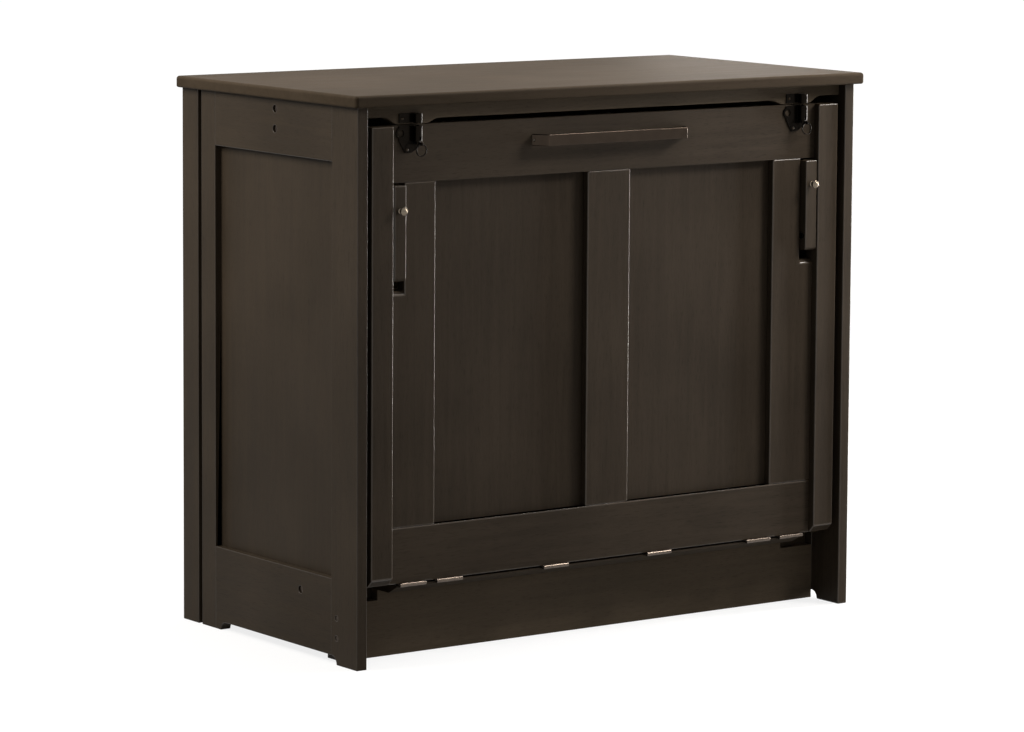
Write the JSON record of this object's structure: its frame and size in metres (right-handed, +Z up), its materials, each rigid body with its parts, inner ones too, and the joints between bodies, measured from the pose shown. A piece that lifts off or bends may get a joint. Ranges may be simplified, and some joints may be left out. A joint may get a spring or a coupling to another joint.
{
  "type": "cabinet bed",
  "caption": "Panelled wooden chest whose hinged front falls forward to become a slatted bed platform, with a folding foot section, fold-out legs and an upright sectional mattress inside.",
  "frame": {"origin": "on the floor, at the middle of the overall width and depth of the closed bed", "axes": "+X across the front towards the viewer's right, +Y from the front to the back, +Z up"},
  "size_m": [1.192, 0.618, 1.05],
  "materials": {
    "stained_frame_wood": "dark stained hardwood under satin lacquer",
    "stained_panel_ply": "dark stained veneered plywood under satin lacquer",
    "platform_wood": "plain planed hardwood, unstained",
    "black_hardware": "black, semi-matt",
    "plated_steel": "zinc plated",
    "knob_metal": "satin nickel plated",
    "mattress_cover": "knitted cover"
  },
  "bodies": {
    "cabinet": {"top_board": "stained_frame_wood", "fascia": "stained_frame_wood", "top_cross_rail": "platform_wood", "left_front_stile": "stained_frame_wood", "right_front_stile": "stained_frame_wood", "side_rear_stiles": "stained_frame_wood", "side_top_rails": "stained_frame_wood", "left_bottom_rail": "stained_frame_wood", "right_bottom_rail": "stained_frame_wood", "side_panels": "stained_panel_ply", "side_bolts": "black_hardware", "stile_pins": "black_hardware", "back_posts": "stained_frame_wood", "back_spacers": "stained_frame_wood", "back_rails": "stained_frame_wood", "back_panel": "stained_panel_ply", "toe_board": "stained_frame_wood", "toe_corner_blocks": "stained_frame_wood", "hinge_ledge": "stained_frame_wood", "deck_front_rail": "platform_wood", "deck_cleats": "platform_wood", "deck_bearer": "platform_wood", "deck_slats": "platform_wood", "hinge_leaves_fixed": "plated_steel", "hinge_pins": "plated_steel", "latch_keepers": "black_hardware", "keeper_screws": "plated_steel", "mattress_head": "mattress_cover", "mattress_middle": "mattress_cover", "mattress_foot": "mattress_cover"},
    "door": {"door_top_rail": "stained_frame_wood", "door_bottom_rail": "stained_frame_wood", "door_centre_stile": "stained_frame_wood", "left_door_stile": "stained_frame_wood", "right_door_stile": "stained_frame_wood", "door_panels": "stained_panel_ply", "left_platform_rail": "stained_frame_wood", "right_platform_rail": "stained_frame_wood", "door_slats": "platform_wood", "hinge_leaves_door": "plated_steel", "handle": "black_hardware", "handle_screws": "plated_steel", "latch_bodies": "black_hardware", "latch_screws": "plated_steel", "leg_bolts": "black_hardware", "fold_hinge_door_leaves": "plated_steel"},
    "foot_section": {"foot_side_rails": "platform_wood", "foot_cross_rails": "platform_wood", "foot_slats": "platform_wood", "fold_hinge_foot_leaves": "plated_steel", "foot_leg_pins": "plated_steel"},
    "foot_leg_frame": {"foot_leg_frame": "platform_wood"},
    "left_leg": {"left_leg": "stained_frame_wood", "left_leg_knob": "knob_metal"},
    "right_leg": {"right_leg": "stained_frame_wood", "right_leg_knob": "knob_metal"},
    "left_latch_bolt": {"left_latch_bolt": "plated_steel"},
    "right_latch_bolt": {"right_latch_bolt": "plated_steel"},
    "left_latch_ring": {"left_latch_ring": "black_hardware"},
    "right_latch_ring": {"right_latch_ring": "black_hardware"}
  },
  "joints": [
    {"name": "door_hinge", "type": "hinge", "parent": "cabinet", "child": "door", "pos_m": [0, -0.2785, 0.14525], "axis": [1, 0, 0], "range_deg": [0, 90]},
    {"name": "foot_section_fold", "type": "hinge", "parent": "door", "child": "foot_section", "pos_m": [0, -0.2365, 0.987], "axis": [1, 0, 0], "range_deg": [0, 180]},
    {"name": "foot_leg_swing", "type": "hinge", "parent": "foot_section", "child": "foot_leg_frame", "pos_m": [0, -0.214, 0.6], "axis": [-1, 0, 0], "range_deg": [0, 90]},
    {"name": "left_leg_swing", "type": "hinge", "parent": "door", "child": "left_leg", "pos_m": [-0.4835, -0.276, 0.73475], "axis": [1, 0, 0], "range_deg": [0, 90]},
    {"name": "right_leg_swing", "type": "hinge", "parent": "door", "child": "right_leg", "pos_m": [0.4835, -0.276, 0.73475], "axis": [1, 0, 0], "range_deg": [0, 90]},
    {"name": "left_latch_slide", "type": "slide", "parent": "door", "child": "left_latch_bolt", "axis": [0, 0, 1], "range_m": [0, 0.009]},
    {"name": "left_ring_swing", "type": "hinge", "parent": "left_latch_bolt", "child": "left_latch_ring", "pos_m": [-0.4435, -0.2945, 0.9565], "axis": [-1, 0, 0], "range_deg": [0, 80]},
    {"name": "right_latch_slide", "type": "slide", "parent": "door", "child": "right_latch_bolt", "axis": [0, 0, 1], "range_m": [0, 0.009]},
    {"name": "right_ring_swing", "type": "hinge", "parent": "right_latch_bolt", "child": "right_latch_ring", "pos_m": [0.4625, -0.2945, 0.9565], "axis": [-1, 0, 0], "range_deg": [0, 80]}
  ],
  "couplings": [
    {"joint": "foot_section_fold", "follows": "door_hinge", "ratio": 2}
  ]
}
